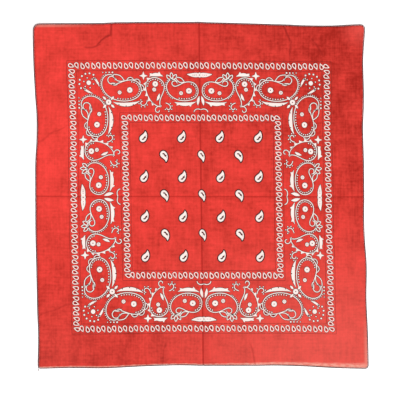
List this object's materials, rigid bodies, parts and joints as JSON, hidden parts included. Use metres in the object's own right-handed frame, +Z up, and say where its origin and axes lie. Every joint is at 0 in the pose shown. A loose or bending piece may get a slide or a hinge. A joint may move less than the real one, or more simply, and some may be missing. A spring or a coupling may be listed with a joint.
{
  "type": "bandana",
  "caption": "Thin printed cotton square laid out flat, with pressed fold lines, softly wavy sides and a dark overlocked edge.",
  "frame": {"origin": "middle of the underside of the whole piece, on the surface that it lies on", "axes": "+X towards the right side of the print, +Y towards its top, +Z up, out of the printed face"},
  "size_m": [0.5366, 0.5589, 0.0057],
  "materials": {
    "cloth": "thin plain-weave cotton, bright red, matt",
    "edging": "dark maroon overlock thread",
    "print_white": "off-white discharge print, matt",
    "print_dark": "black print over red, matt"
  },
  "bodies": {
    "root": {"cloth_panel": "cloth", "edging_top": "edging", "edging_right": "edging", "edging_bottom": "edging", "edging_left": "edging", "thread_tail": "edging"}
  },
  "joints": []
}
